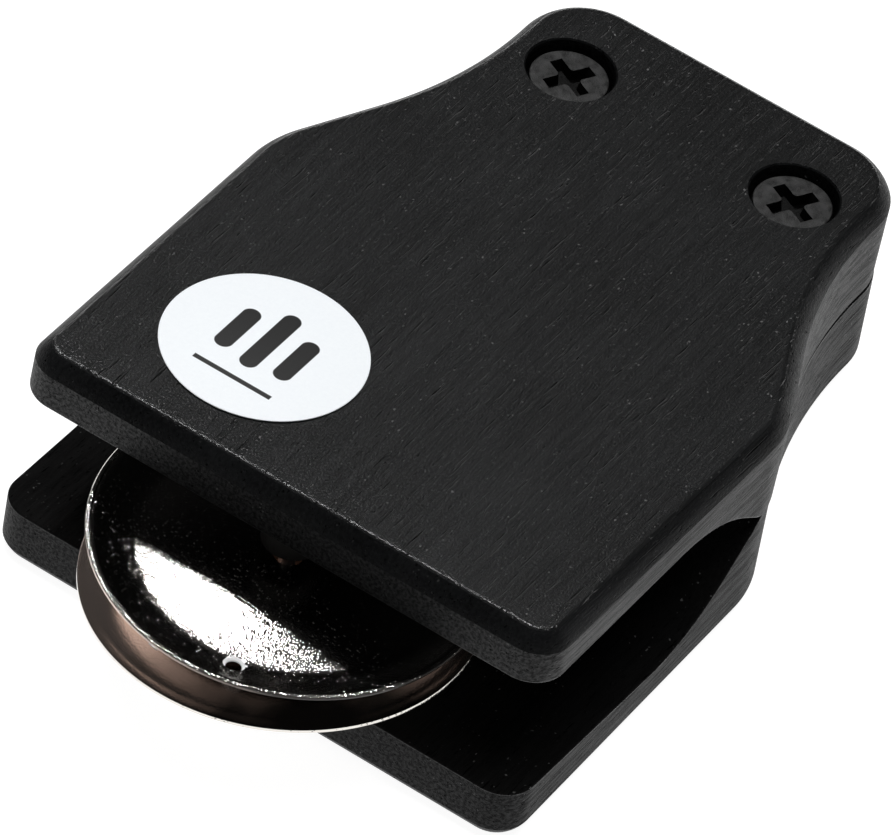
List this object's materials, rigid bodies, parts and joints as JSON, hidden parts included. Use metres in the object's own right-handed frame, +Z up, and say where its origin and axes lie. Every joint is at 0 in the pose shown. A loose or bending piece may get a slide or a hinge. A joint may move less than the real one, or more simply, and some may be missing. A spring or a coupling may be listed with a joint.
{
  "type": "jingle castanet",
  "caption": "Hand clapper of hinge-less hardwood boards screwed together at the narrow end, with a steel jingle pair between the open fronts.",
  "frame": {"origin": "centre of the base of the bounding box, on the surface that the lower board's outer face lies on", "axes": "+X across the boards to the player's right with the jingles in front, +Y from the open jingle end to the screwed end, +Z up out of the upper board"},
  "size_m": [0.0826, 0.1338, 0.0379],
  "materials": {
    "stained_wood": "open-pored hardwood stained black, satin",
    "dowel_wood": "stained dowel, matt",
    "pin_steel": "drawn wire",
    "nickel_steel": "bright nickel with a fine pebble",
    "black_oxide": "black oxide, satin",
    "white_film": "printed film, semi-gloss"
  },
  "bodies": {
    "boards": {"lower_board": "stained_wood", "upper_board": "stained_wood", "lower_post": "dowel_wood", "upper_post": "dowel_wood", "jingle_pin": "pin_steel", "screw_left": "black_oxide", "screw_right": "black_oxide", "round_label": "white_film"},
    "lower_jingle": {"lower_jingle": "nickel_steel"},
    "upper_jingle": {"upper_jingle": "nickel_steel"}
  },
  "joints": [
    {"name": "jingle_rattle", "type": "slide", "parent": "boards", "child": "lower_jingle", "axis": [0, 0.0358, 0.9994], "range_m": [0, 0.0012]},
    {"name": "jingle_clash", "type": "slide", "parent": "lower_jingle", "child": "upper_jingle", "axis": [0, 0.0358, 0.9994], "range_m": [0, 0.0012]}
  ]
}
